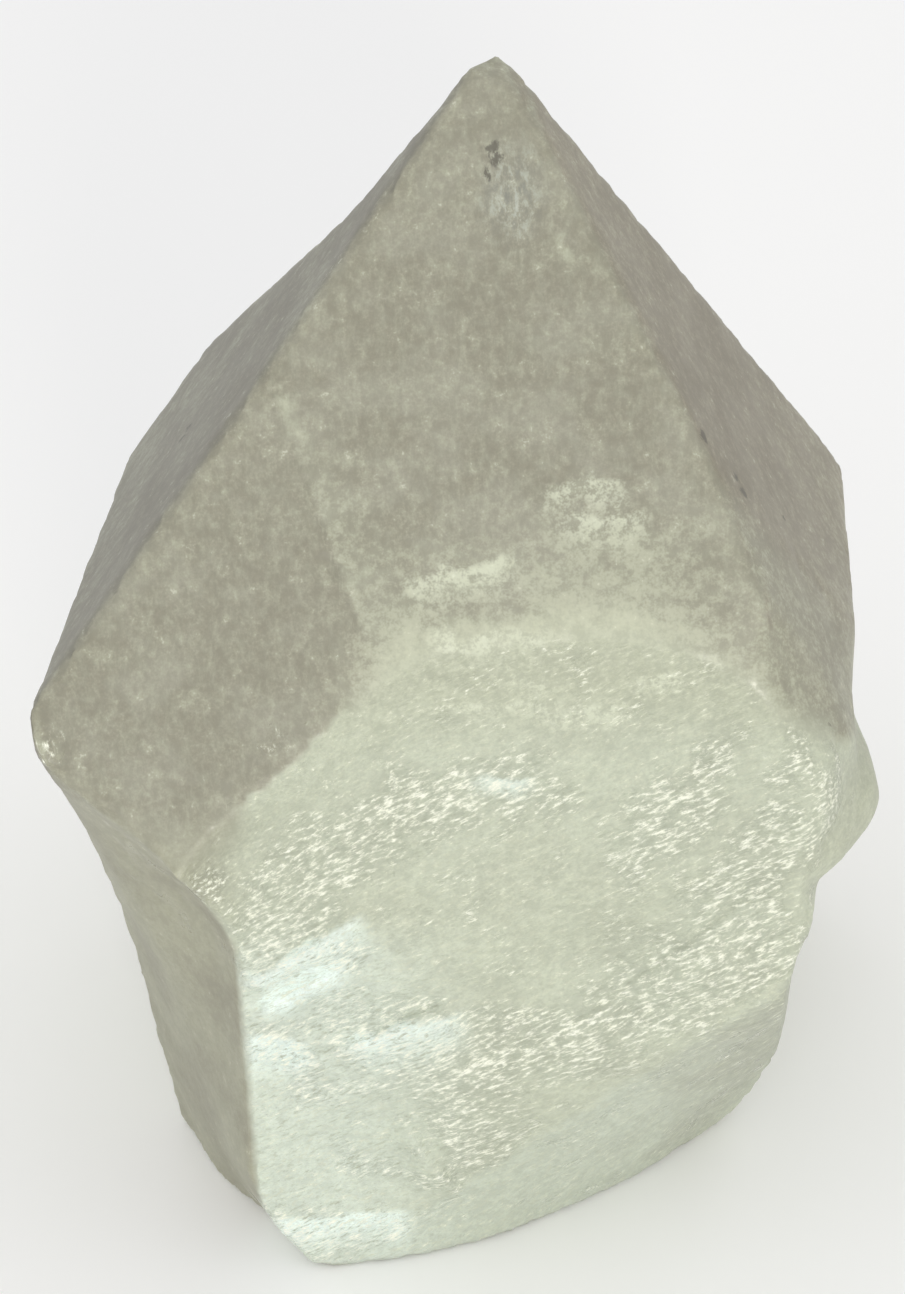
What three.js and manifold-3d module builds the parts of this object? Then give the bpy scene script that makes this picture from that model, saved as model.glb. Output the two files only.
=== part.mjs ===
// Quartz crystal point, one grown piece standing on its broken root.
// Millimetres, +Z up. The big front face looks toward -Y and +X is on its right.
import * as THREE from "three";
import { mergeVertices } from "three/addons/utils/BufferGeometryUtils.js";
import Module from "manifold-3d";

const wasm = await Module();
wasm.setup();

// The raw block that every face is cut from
const BLOCK_WIDTH = 120;
const BLOCK_HEIGHT = 130;
const CUT_SIZE = 300;

// Flat growth faces. Azimuth is in degrees from the front, positive to the right. Rise is how many
// degrees the outward normal points above the horizon. Reach is the distance from the crystal's heart.
const HEART_HEIGHT = 45;
const GROWTH_FACES = [
  { name: "big front face", azimuth: -2, rise: 38, reach: 34.85 },
  { name: "front face left of the crease", azimuth: -6.6, rise: 36.5, reach: 35.5 },
  { name: "left face", azimuth: -98.6, rise: 35.9, reach: 33.2 },
  { name: "left shoulder face", azimuth: -118, rise: 25.2, reach: 34.7 },
  { name: "right face", azimuth: 88.9, rise: 33.6, reach: 31.35 },
  { name: "back right face", azimuth: 140, rise: 32.1, reach: 29.6 },
  { name: "back face", azimuth: 180, rise: 36, reach: 33.5 },
  { name: "right bevel", azimuth: 80.5, rise: 32, reach: 33.3 },
  { name: "left prism side", azimuth: -96, rise: -7.6, reach: 32.2 },
  { name: "right prism side", azimuth: 87.5, rise: 0, reach: 31.6 },
  { name: "back left prism side", azimuth: -140, rise: -1, reach: 33.5 },
  { name: "back right prism side", azimuth: 140, rise: -1, reach: 33 },
  { name: "back prism side", azimuth: 180, rise: -1, reach: 35.5 },
  { name: "blunt tip", azimuth: 20, rise: 76, reach: 52.8 },
  { name: "chip right of the tip", azimuth: 80, rise: 48, reach: 40.8 },
  { name: "blunt left corner", azimuth: -72, rise: 3, reach: 46.2 },
];

// The back left face is hollow: a steep upper part and a flatter lower part that meet in a step
const BACK_LEFT_UPPER = { azimuth: -140, rise: 28.1, reach: 26.1 };
const BACK_LEFT_LOWER = { azimuth: -140, rise: 43.3, reach: 33.4 };

// A lumpy knob on the right corner under the head
const KNOB_PLACE = [24.6, -25.5, 45.2];
const KNOB_SIZE = [7.6, 11, 8.6];
const KNOB_LUMP = 0.14;

// Broken sides of the root, each a block whose inner face is shaped by a depth rule
const BREAK_TOP = 78;
const BREAK_FOOT = -4;
const BREAK_WIDTH = 110;
const BREAK_OUTER = 90;
const FRONT_BREAK = { azimuth: 0, columns: 78, rows: 58 };
const LEFT_BREAK = { azimuth: -62, columns: 44, rows: 34 };
const RIGHT_BREAK = { azimuth: 82, columns: 44, rows: 34 };
const BACK_BREAK = { azimuth: 165, columns: 44, rows: 34 };

// Front break: depth of the wall, how it leans back under the big front face, and its lower right scar
const WALL_DEPTH = 38;
const LEAN_FROM = 22;
const LEAN_RATE = 0.0048;
const LEAN_CENTRE = 4;
const LEAN_SPREAD = 23;
const LEFT_FLARE_FROM = -19;
const LEFT_FLARE_RATE = 0.06;
const RIGHT_ROLL_FROM = 25;
const RIGHT_ROLL_RATE = 0.3;
const SCAR_DEPTH = 33.4;
const SCAR_SIDE_SLOPE = 0.45;
const SCAR_SIDE_CURVE = 0.0125;
const SCAR_LEAN = 0.25;
const SCAR_LEAN_GAIN = 0.0195;
const SCAR_LEFT_END = -8;
const SCAR_BLEND = 1.2;

// Left break: a slope that bellies out toward the back, and an upright front edge that tucks in at
// the foot and flares out under the head
const LEFT_SLOPE_DEPTH = 33.4;
const LEFT_SLOPE_LEAN = 0.17;
const LEFT_SLOPE_BELLY = 0.0052;
const LEFT_BELLY_FROM = 20;
const LEFT_EDGE_DEPTH = 36.2;
const LEFT_TUCK_FROM = 15;
const LEFT_TUCK_RATE = 0.025;
const LEFT_HEAD_FROM = 38.5;
const LEFT_HEAD_FLARE = 0.65;
const LEFT_HEAD_SOFT = 1.5;
const LEFT_BLEND_FROM = 10;
const LEFT_BLEND_TO = 22;
const LEFT_SWELL = 0.3;

// Right break: almost upright, tucked in at the foot, flared out under the head
const RIGHT_DEPTH = 28.5;
const RIGHT_LEAN = 0.03;
const RIGHT_TUCK_FROM = 22;
const RIGHT_TUCK_RATE = 0.008;
const RIGHT_HEAD_FROM = 35;
const RIGHT_HEAD_FLARE = 0.5;
const RIGHT_HEAD_SOFT = 1.2;
const RIGHT_SWELL = 0.5;

// Back break: leans out upward, rougher than the sides
const BACK_DEPTH = 26.5;
const BACK_LEAN = 0.14;
const BACK_HEAD_FROM = 33;
const BACK_HEAD_FLARE = 0.5;
const BACK_HEAD_SOFT = 3;
const BACK_SWELL = 1.2;
const BACK_ROUGH = 0.5;

// Ripples that run up to the right over the front break
const RIPPLE_ANGLE = 28;
const RIPPLE_HEIGHT = 0.45;
const RIPPLE_LENGTH = 10;
const RIPPLE_SPACING = 3.4;

// Conchoidal scoops in the front break

const SCOOPS = [
  { across: -10.5, up: 13.5, radius: 6.5, depth: 1.5 },
  { across: -16, up: 31, radius: 5, depth: 0.9 },
  { across: 8, up: 37, radius: 9, depth: 0.8 },
  { across: 24, up: 41, radius: 6, depth: 0.9 },
];

// Ledges on the front break, each a sharp upper edge that fades downward over its width
const LEDGE_EDGE = 1.1;
const LEDGES = [
  { from: [-21, 33.6], to: [-12.6, 39], height: 0.8, width: 2.2 },
  { from: [-20, 29.6], to: [-13, 34.4], height: 0.6, width: 2 },
  { from: [-17, 27.2], to: [-1.8, 29.4], height: 0.8, width: 2.6 },
  { from: [-7, 16.5], to: [-3.1, 9.8], height: 0.7, width: 2.4 },
  { from: [13, 31], to: [25, 43], height: 0.7, width: 2.4 },
];

const radians = THREE.MathUtils.degToRad;

function outward(azimuth, rise) {
  const level = Math.cos(radians(rise));
  return new THREE.Vector3(
    level * Math.sin(radians(azimuth)),
    -level * Math.cos(radians(azimuth)),
    Math.sin(radians(rise)),
  );
}

function solidFrom(geometry) {
  const bare = geometry.clone();
  bare.deleteAttribute("normal");
  bare.deleteAttribute("uv");
  const merged = mergeVertices(bare, 1e-4);
  return new wasm.Manifold(
    new wasm.Mesh({
      numProp: 3,
      vertProperties: new Float32Array(merged.attributes.position.array),
      triVerts: new Uint32Array(merged.index.array),
    }),
  );
}

// A big block whose lower side lies on a face's plane, so that subtracting it leaves the face
function faceCutter({ azimuth, rise, reach }) {
  const normal = outward(azimuth, rise);
  const block = new THREE.BoxGeometry(CUT_SIZE, CUT_SIZE, CUT_SIZE);
  block.translate(0, 0, CUT_SIZE / 2);
  const turn = new THREE.Quaternion().setFromUnitVectors(new THREE.Vector3(0, 0, 1), normal);
  block.applyQuaternion(turn);
  const onFace = normal.clone().multiplyScalar(reach);
  block.translate(onFace.x, onFace.y, onFace.z + HEART_HEIGHT);
  return solidFrom(block);
}

// Repeatable value between -1 and 1 for a grid corner
function corner(i, j, seed) {
  const wave = Math.sin(i * 127.1 + j * 311.7 + seed * 74.7) * 43758.5453;
  return 2 * (wave - Math.floor(wave)) - 1;
}

function smoothNoise(u, v, seed) {
  const i = Math.floor(u);
  const j = Math.floor(v);
  const a = THREE.MathUtils.smoothstep(u - i, 0, 1);
  const b = THREE.MathUtils.smoothstep(v - j, 0, 1);
  const low = THREE.MathUtils.lerp(corner(i, j, seed), corner(i + 1, j, seed), a);
  const high = THREE.MathUtils.lerp(corner(i, j + 1, seed), corner(i + 1, j + 1, seed), a);
  return THREE.MathUtils.lerp(low, high, b);
}

// The smaller of two depths, with the edge between them rounded
function softMin(first, second, blend) {
  const share = THREE.MathUtils.clamp(0.5 + (second - first) / (2 * blend), 0, 1);
  const mixed = THREE.MathUtils.lerp(second, first, share);
  return mixed - blend * share * (1 - share);
}

// Zero below the start, then a ramp that begins softly
function softRamp(value, start, soft) {
  const t = (value - start) / soft;
  return soft * Math.log1p(Math.exp(t));
}

function ripple(across, up, seed) {
  const along = across * Math.cos(radians(RIPPLE_ANGLE)) + up * Math.sin(radians(RIPPLE_ANGLE));
  const over = up * Math.cos(radians(RIPPLE_ANGLE)) - across * Math.sin(radians(RIPPLE_ANGLE));
  const broad = smoothNoise(along / RIPPLE_LENGTH, over / RIPPLE_SPACING, seed);
  const fine = smoothNoise((2 * along) / RIPPLE_LENGTH, (2 * over) / RIPPLE_SPACING, seed + 1);
  return RIPPLE_HEIGHT * (broad + 0.5 * fine);
}

function ledgeHeight(across, up, ledge) {
  const run = new THREE.Vector2(ledge.to[0] - ledge.from[0], ledge.to[1] - ledge.from[1]);
  const length = run.length();
  run.normalize();
  const reach = new THREE.Vector2(across - ledge.from[0], up - ledge.from[1]);
  const along = reach.dot(run);
  const below = reach.cross(run);
  const rising = THREE.MathUtils.smoothstep(along, -1, 2);
  const falling = 1 - THREE.MathUtils.smoothstep(along, length - 2, length + 1);
  const profile = below < 0 ? Math.max(0, 1 + below / LEDGE_EDGE) : Math.exp(-below / ledge.width);
  return ledge.height * rising * falling * profile;
}

function frontBreak(across, up) {
  const leanShare = Math.exp(-(((across - LEAN_CENTRE) / LEAN_SPREAD) ** 4));
  const lean = LEAN_RATE * leanShare * Math.max(0, up - LEAN_FROM) ** 2;
  const flare = LEFT_FLARE_RATE * Math.max(0, LEFT_FLARE_FROM - across) ** 2;
  const roll = RIGHT_ROLL_RATE * Math.max(0, across - RIGHT_ROLL_FROM) ** 2;
  const wall = WALL_DEPTH - lean + flare - roll;
  const scarFoot = SCAR_DEPTH - SCAR_SIDE_SLOPE * across - SCAR_SIDE_CURVE * across ** 2;
  const scar = scarFoot + (SCAR_LEAN + SCAR_LEAN_GAIN * Math.max(across, SCAR_LEFT_END)) * up;
  let depth = softMin(wall + ripple(across, up, 3), scar, SCAR_BLEND);
  for (const scoop of SCOOPS) {
    const distance = Math.hypot(across - scoop.across, up - scoop.up) / scoop.radius;
    depth -= scoop.depth * Math.exp(-(distance ** 2));
  }
  for (const ledge of LEDGES) depth += ledgeHeight(across, up, ledge);
  return depth;
}

function leftBreak(across, up) {
  const belly = LEFT_SLOPE_BELLY * Math.max(0, up - LEFT_BELLY_FROM) ** 2;
  const sloping = LEFT_SLOPE_DEPTH + LEFT_SLOPE_LEAN * up + belly;
  const tuck = LEFT_TUCK_RATE * Math.max(0, LEFT_TUCK_FROM - up) ** 2;
  const flare = LEFT_HEAD_FLARE * softRamp(up, LEFT_HEAD_FROM, LEFT_HEAD_SOFT);
  const upright = LEFT_EDGE_DEPTH - tuck + flare;
  const edgeShare = THREE.MathUtils.smoothstep(across, LEFT_BLEND_FROM, LEFT_BLEND_TO);
  const swell = LEFT_SWELL * smoothNoise(across / 14, up / 11, 21);
  return THREE.MathUtils.lerp(sloping, upright, edgeShare) + swell;
}

function rightBreak(across, up) {
  const tuck = RIGHT_TUCK_RATE * Math.max(0, RIGHT_TUCK_FROM - up) ** 2;
  const flare = RIGHT_HEAD_FLARE * softRamp(up, RIGHT_HEAD_FROM, RIGHT_HEAD_SOFT);
  const swell = RIGHT_SWELL * smoothNoise(across / 9, up / 7, 31);
  return RIGHT_DEPTH + RIGHT_LEAN * up - tuck + flare + swell;
}

function backBreak(across, up) {
  const flare = BACK_HEAD_FLARE * softRamp(up, BACK_HEAD_FROM, BACK_HEAD_SOFT);
  const swell = BACK_SWELL * smoothNoise(across / 12, up / 9, 41);
  const rough = BACK_ROUGH * smoothNoise(across / 5, up / 4, 42);
  return BACK_DEPTH + BACK_LEAN * up + flare + swell + rough;
}

// A block outside the crystal whose inner face follows a depth rule over its width and height
function breakCutter({ azimuth, columns, rows }, depthRule) {
  const height = BREAK_TOP - BREAK_FOOT;
  const block = new THREE.BoxGeometry(BREAK_WIDTH, 1, height, columns, 1, rows);
  block.translate(0, 0, height / 2 + BREAK_FOOT);
  const place = block.getAttribute("position");
  for (let k = 0; k < place.count; k += 1) {
    const inner = place.getY(k) > 0;
    place.setY(k, inner ? -depthRule(place.getX(k), place.getZ(k)) : -BREAK_OUTER);
  }
  block.rotateZ(radians(azimuth));
  return solidFrom(block);
}

function lumpyKnob() {
  const knob = new THREE.IcosahedronGeometry(1, 4);
  const place = knob.getAttribute("position");
  for (let k = 0; k < place.count; k += 1) {
    const point = new THREE.Vector3().fromBufferAttribute(place, k);
    const lump = smoothNoise(1.7 * point.x + 0.6 * point.y + 9, 1.7 * point.z - 0.6 * point.y + 9, 51);
    point.multiplyScalar(1 + KNOB_LUMP * lump);
    place.setXYZ(k, point.x, point.y, point.z);
  }
  knob.scale(...KNOB_SIZE);
  knob.translate(...KNOB_PLACE);
  return solidFrom(knob);
}

const raw = new THREE.BoxGeometry(BLOCK_WIDTH, BLOCK_WIDTH, BLOCK_HEIGHT);
raw.translate(0, 0, BLOCK_HEIGHT / 2);
let crystal = solidFrom(raw);
for (const face of GROWTH_FACES) crystal = crystal.subtract(faceCutter(face));
crystal = crystal.subtract(faceCutter(BACK_LEFT_UPPER).intersect(faceCutter(BACK_LEFT_LOWER)));
crystal = crystal.subtract(breakCutter(LEFT_BREAK, leftBreak));
crystal = crystal.subtract(breakCutter(RIGHT_BREAK, rightBreak));
crystal = crystal.subtract(breakCutter(BACK_BREAK, backBreak));
crystal = crystal.subtract(breakCutter(FRONT_BREAK, frontBreak));
crystal = crystal.add(lumpyKnob());

const cut = crystal.getMesh();
const geometry = new THREE.BufferGeometry();
geometry.setAttribute("position", new THREE.BufferAttribute(new Float32Array(cut.vertProperties), 3));
geometry.setIndex(new THREE.BufferAttribute(new Uint32Array(cut.triVerts), 1));

// The origin sits under the middle of the whole crystal, on the surface it stands on
geometry.computeBoundingBox();
const middle = geometry.boundingBox.getCenter(new THREE.Vector3());
geometry.translate(-middle.x, -middle.y, -geometry.boundingBox.min.z);
geometry.computeVertexNormals();

const milkyQuartz = new THREE.MeshStandardMaterial({ color: 0xb9b9a8, roughness: 0.25, metalness: 0 });
const quartzCrystal = new THREE.Mesh(geometry, milkyQuartz);
quartzCrystal.name = "quartz_crystal";

const specimen = new THREE.Group();
specimen.add(quartzCrystal);

export default specimen;
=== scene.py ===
# %% [markdown]
# # A milky quartz crystal point
# The object is one crystal that grew as one piece: flat faces lean together to a blunt tip, and the
# root below them is broken off, with a glassy, rippled break across the front. This lesson takes the
# measured solid as a fixed frame, gives it a fine skin, raises the ripples and wear on that skin with
# Geometry Nodes, and finishes it with one procedural material.

# %% Load the frame
import math

import bmesh
import bpy
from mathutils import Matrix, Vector
from mathutils.bvhtree import BVHTree


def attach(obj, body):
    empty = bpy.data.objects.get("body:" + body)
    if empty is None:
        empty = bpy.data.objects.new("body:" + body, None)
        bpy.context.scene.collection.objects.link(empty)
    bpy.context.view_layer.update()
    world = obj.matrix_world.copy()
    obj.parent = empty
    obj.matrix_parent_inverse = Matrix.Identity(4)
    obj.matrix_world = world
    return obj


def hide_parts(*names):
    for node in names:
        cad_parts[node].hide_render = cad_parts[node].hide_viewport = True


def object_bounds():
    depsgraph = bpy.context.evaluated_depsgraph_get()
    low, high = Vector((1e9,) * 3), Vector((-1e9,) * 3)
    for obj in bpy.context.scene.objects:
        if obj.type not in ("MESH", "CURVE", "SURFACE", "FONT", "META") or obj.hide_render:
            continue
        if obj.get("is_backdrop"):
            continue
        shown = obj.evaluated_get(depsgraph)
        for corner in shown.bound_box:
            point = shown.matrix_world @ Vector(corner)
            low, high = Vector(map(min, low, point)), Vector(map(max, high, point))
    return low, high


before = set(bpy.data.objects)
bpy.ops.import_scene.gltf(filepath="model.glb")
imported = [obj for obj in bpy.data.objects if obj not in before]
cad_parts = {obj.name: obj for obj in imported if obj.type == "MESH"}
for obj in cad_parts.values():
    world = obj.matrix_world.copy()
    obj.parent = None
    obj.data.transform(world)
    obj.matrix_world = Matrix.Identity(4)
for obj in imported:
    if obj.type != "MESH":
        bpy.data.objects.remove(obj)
scene = bpy.context.scene
crystal_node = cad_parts["quartz_crystal"]
MM = 0.001
cad_low, cad_high = (Vector(corner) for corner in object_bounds())
print("solid's box in mm:", [round(side / MM, 1) for side in cad_high - cad_low])

# %% [markdown]
# ## The camera
# The photograph looks down on the standing crystal at 35 degrees, from straight in front. A long lens
# keeps the edges nearly parallel. The lens is worked out from the angle that the picture's height
# takes in, so that it fits whatever the sensor is called.

# %% Camera
CAMERA_PLACE = Vector((-0.753, -271.788, 233.158)) * MM
LOOK_DOWN = 35.0
PICTURE_HEIGHT = 1294
FOCAL_PIXELS = 3700
SENSOR_HEIGHT = 36.0
CLIP_START = 0.01

camera = bpy.data.objects.new("camera", bpy.data.cameras.new("camera"))
scene.collection.objects.link(camera)
camera.location = CAMERA_PLACE
camera.rotation_euler = (math.radians(90 - LOOK_DOWN), 0, 0)
camera.data.sensor_fit = "VERTICAL"
camera.data.sensor_height = SENSOR_HEIGHT
camera.data.lens = SENSOR_HEIGHT * FOCAL_PIXELS / PICTURE_HEIGHT
camera.data.clip_start = CLIP_START
scene.camera = camera
print("lens in mm:", round(camera.data.lens, 1))

# %% [markdown]
# ## Short names for nodes
# Geometry Nodes and shaders are both node trees, and most of the same nodes work in either. A few
# helpers that add a node, fill its sockets and hand back its output keep the trees below readable.


# %% Node helpers
def plug(tree, socket, value):
    """Links an output to a socket, or sets the socket's own value."""
    if isinstance(value, bpy.types.NodeSocket):
        tree.links.new(value, socket)
    elif value is not None:
        socket.default_value = value


def add(tree, kind, inputs=None, **settings):
    """Adds a node with its settings, and fills its inputs by name or number."""
    made = tree.nodes.new(kind)
    for name, value in settings.items():
        setattr(made, name, value)
    for name, value in (inputs or {}).items():
        plug(tree, made.inputs[name], value)
    return made


def calc(tree, operation, first, second=None, third=None):
    inputs = {0: first, 1: second, 2: third}
    return add(tree, "ShaderNodeMath", inputs, operation=operation).outputs[0]


def arrow(tree, operation, first, second=None, scale=None):
    """A Vector Math node. Dot Product and Length hand back their number."""
    inputs = {0: first, 1: second}
    if scale is not None:
        inputs["Scale"] = scale
    made = add(tree, "ShaderNodeVectorMath", inputs, operation=operation)
    number = operation in ("DOT_PRODUCT", "LENGTH", "DISTANCE")
    return made.outputs["Value" if number else "Vector"]


def ramp(tree, value, start, end, low=0.0, high=1.0):
    """Goes smoothly from low to high while value goes from start to end."""
    inputs = {"Value": value, "From Min": start, "From Max": end, "To Min": low, "To Max": high}
    made = add(tree, "ShaderNodeMapRange", inputs, interpolation_type="SMOOTHSTEP")
    return made.outputs["Result"]


FADES = {}


def fade(tree, value, name):
    """A ramp whose start, end and values stand in the table of fades."""
    return ramp(tree, value, *FADES[name])


def grain(tree, place, detail=2.0, roughness=0.5, distortion=0.0):
    """Noise from 0 to 1 that repeats about once a unit."""
    inputs = {"Vector": place, "Scale": 1.0, "Detail": detail, "Roughness": roughness}
    inputs["Distortion"] = distortion
    return add(tree, "ShaderNodeTexNoise", inputs).outputs[0]


def parts(tree, vector):
    return add(tree, "ShaderNodeSeparateXYZ", {0: vector}).outputs


def join(tree, x, y, z):
    return add(tree, "ShaderNodeCombineXYZ", {0: x, 1: y, 2: z}).outputs[0]


def times(tree, first, *others):
    """All of the values multiplied together."""
    for other in others:
        first = calc(tree, "MULTIPLY", first, other)
    return first


def plus(tree, first, *others):
    """All of the values added together."""
    for other in others:
        first = calc(tree, "ADD", first, other)
    return first


def flip(tree, value):
    return calc(tree, "SUBTRACT", 1.0, value)


def mixed(tree, share, first, second):
    """The first value where share is 0, the second where it is 1."""
    return plus(tree, times(tree, first, flip(tree, share)), times(tree, second, share))


def swing(tree, noise, reach=1.0):
    """Noise from 0 to 1 turned into a value from -reach to reach."""
    return calc(tree, "MULTIPLY_ADD", noise, 2.0 * reach, -reach)


print("node helpers ready")

# %% [markdown]
# ## A fine, even skin
# The solid's triangles are long on the flat faces and coarse on the break, so relief would come out
# uneven on them. The Remesh modifier in its sharp mode lays an even net over a copy and keeps the
# crystal's edges. Only the front faces and the front break, which carry the small details, are then
# divided once more.

# %% Which part of the solid each face belongs to
WELD_DISTANCE = 1e-6
FLAT_AREA = 25 * MM**2
FOOT_FACING = -0.9
FRONT_FACING = 0.45
LEFT_FACING = -0.55
FRONT_SIDE = -20 * MM
BREAK_TOP = 64 * MM

merged = crystal_node.data.copy()
shell = bmesh.new()
shell.from_mesh(merged)
bmesh.ops.remove_doubles(shell, verts=shell.verts, dist=WELD_DISTANCE)
shell.normal_update()


def plane_of(face):
    """Faces of one flat crystal face share this key."""
    normal = tuple(round(part, 2) for part in face.normal)
    return normal + (round(face.normal.dot(face.calc_center_median()) / MM, 0),)


plane_area = {}
for face in shell.faces:
    plane = plane_of(face)
    plane_area[plane] = plane_area.get(plane, 0) + face.calc_area()
flat_planes = sorted(key for key, area in plane_area.items() if area > FLAT_AREA)


def part_of(face):
    """A number for each flat face, or the name of a rough part."""
    key = plane_of(face)
    middle = face.calc_center_median()
    if key in flat_planes:
        return "foot" if face.normal.z < FOOT_FACING else flat_planes.index(key)
    if middle.z > BREAK_TOP:
        return "chipped tip"
    front = -face.normal.y > FRONT_FACING and face.normal.x > LEFT_FACING
    return "front break" if front and middle.y < FRONT_SIDE else "side break"


solid_parts = [part_of(face) for face in shell.faces]
solid_tree = BVHTree.FromBMesh(shell)
shell.to_mesh(merged)
shell.free()
print("flat faces:", len(flat_planes), "solid's triangles:", len(solid_parts))

# %% The even net
NET_DEPTH = 8
NET_SCALE = 0.53
FRONT_FACE = -0.7

net_object = bpy.data.objects.new("net", merged)
scene.collection.objects.link(net_object)
net_maker = net_object.modifiers.new("even net", "REMESH")
net_maker.mode = "SHARP"
net_maker.octree_depth = NET_DEPTH
net_maker.scale = NET_SCALE
evaluated = net_object.evaluated_get(bpy.context.evaluated_depsgraph_get())
skin_mesh = bpy.data.meshes.new_from_object(evaluated)
bpy.data.objects.remove(net_object)


def nearest_part(place):
    return solid_parts[solid_tree.find_nearest(place)[2]]


def is_front_face(part):
    return isinstance(part, int) and flat_planes[part][1] < FRONT_FACE


def detailed(face):
    """The front break and the two front faces carry the small details."""
    part = nearest_part(face.calc_center_median())
    return part == "front break" or is_front_face(part)


skin = bmesh.new()
skin.from_mesh(skin_mesh)
fine_faces = {face for face in skin.faces if detailed(face)}
fine_edges = [e for e in skin.edges if e.link_faces and all(f in fine_faces for f in e.link_faces)]
bmesh.ops.subdivide_edges(skin, edges=fine_edges, cuts=1, use_grid_fill=True)
pinched = [edge for edge in skin.edges if len(edge.link_faces) != 2]
bmesh.ops.collapse(skin, edges=pinched)
bmesh.ops.recalc_face_normals(skin, faces=skin.faces)
print("skin's faces:", len(skin.faces), "pinched edges closed:", len(pinched))

# %% Which points belong to which part
BROW_FROM = -8 * MM
UPRIGHT = 0.3

vertex_parts = [nearest_part(vertex.co) for vertex in skin.verts]
skin.verts.index_update()
on_edge = set()
on_brow = set()
for edge in skin.edges:
    ends = [vertex.index for vertex in edge.verts]
    meeting = {vertex_parts[end] for end in ends}
    if len(meeting) > 1:
        on_edge.update(ends)
    under_front_face = "front break" in meeting and any(is_front_face(part) for part in meeting)
    if under_front_face and edge.verts[0].co.x > BROW_FROM:
        on_brow.update(ends)
for face in skin.faces:
    face.smooth = True
skin.to_mesh(skin_mesh)
skin.free()


def mark(name, values):
    attribute = skin_mesh.attributes.new(name, "FLOAT", "POINT")
    attribute.data.foreach_set("value", [float(value) for value in values])
    print("mark", name, "on", sum(1 for value in values if value), "points")


mark("front_break", [part == "front break" for part in vertex_parts])
mark("side_break", [part == "side break" for part in vertex_parts])
mark("growth_face", [isinstance(part, int) for part in vertex_parts])
mark("crystal_edge", [k in on_edge for k in range(len(vertex_parts))])
mark("soft_brow", [k in on_brow for k in range(len(vertex_parts))])


def lean(part):
    """The normal of a flat face, or straight out of the front for a rough part."""
    return flat_planes[part][:3] if isinstance(part, int) else (0.0, -1.0, 0.0)


mark("striped", [isinstance(part, int) and abs(lean(part)[2]) < UPRIGHT for part in vertex_parts])
mark("sidewards", [abs(lean(part)[0]) for part in vertex_parts])

# %% [markdown]
# ## Lines that place the markings
# On the real crystal the glints gather in slanting rows, a few chipped ledges catch bluish light at the
# lower left, and milky veils hang under short level edges. Each of these follows a short line, so one
# small node group measures how far a point is from a line, and is placed once for each of them.

# %% Lines on the front break: both ends as (across, up) in mm, then the width or reach of the mark
GLINT_ROWS = (
    ((-17.5, 36.5), (-10.8, 45.9), 5.9),
    ((-10.8, 45.9), (-2.0, 49.8), 5.4),
    ((-1.5, 50.2), (6.0, 50.8), 4.8),
    ((13.5, 45.4), (18.7, 48.1), 3.6),
    ((14.6, 48.4), (19.8, 50.2), 3.1),
    ((24.6, 47.2), (30.0, 50.2), 4.2),
    ((20.5, 41.8), (27.7, 47.2), 4.9),
    ((23.5, 42.0), (25.0, 35.7), 5.4),
    ((14.0, 29.5), (21.0, 35.0), 7.8),
    ((1.5, 26.5), (11.0, 27.0), 6.4),
    ((-9.0, 28.5), (2.0, 24.0), 7.2),
    ((-0.5, 20.5), (2.5, 13.0), 6.9),
    ((-16.0, 4.5), (-6.0, 3.0), 4.8),
    ((19.8, 51.5), (21.0, 53.5), 2.5),
    ((26.0, 53.3), (27.5, 55.0), 2.5),
    ((-21.6, 42.5), (-20.5, 44.5), 2.1),
    ((-15.5, 55.4), (-12.5, 57.2), 1.0),
    ((-17.4, 27.0), (-13.2, 25.0), 3.0),
    ((-13.5, 21.0), (-6.0, 22.5), 2.4),
    ((-8.6, 11.6), (-2.6, 10.4), 2.4),
    ((-15.5, 38.0), (-9.5, 36.0), 3.0),
)
# A ledge has its height last.
LEDGES = (
    ((-18.0, 34.0), (-8.5, 40.3), 3.6, 0.55),
    ((-17.5, 30.2), (-9.5, 35.4), 3.0, 0.4),
    ((-15.0, 24.4), (-1.5, 31.0), 4.4, 0.55),
    ((-4.5, 17.0), (0.2, 8.0), 3.6, 0.45),
    ((8.0, 27.5), (24.0, 41.5), 4.0, 0.3),
)
BLUE_CHIPS = (
    ((-17.8, 34.6), (-8.8, 40.4), 6.5),
    ((-18.4, 28.2), (-13.0, 27.0), 6.0),
    ((-17.4, 31.6), (-10.5, 36.0), 4.5),
    ((-9.5, 28.0), (-0.5, 30.4), 6.5),
    ((-16.5, 6.6), (-4.5, 6.4), 5.5),
    ((1.2, 51.9), (5.8, 51.7), 2.4),
)
SCAR_EDGE = ((-0.5, 8.4), (27.2, 33.0))
LEFT_FADE_EDGE = ((-28.0, 51.5), (-16.5, 53.6))
STRIP_UPPER_EDGE = ((-24.5, 49.5), (-18.6, 37.0))
STRIP_LOWER_EDGE = ((-18.6, 37.0), (-17.6, 8.0))
print("lines on the break:", len(GLINT_ROWS) + len(LEDGES) + len(BLUE_CHIPS))

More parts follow.
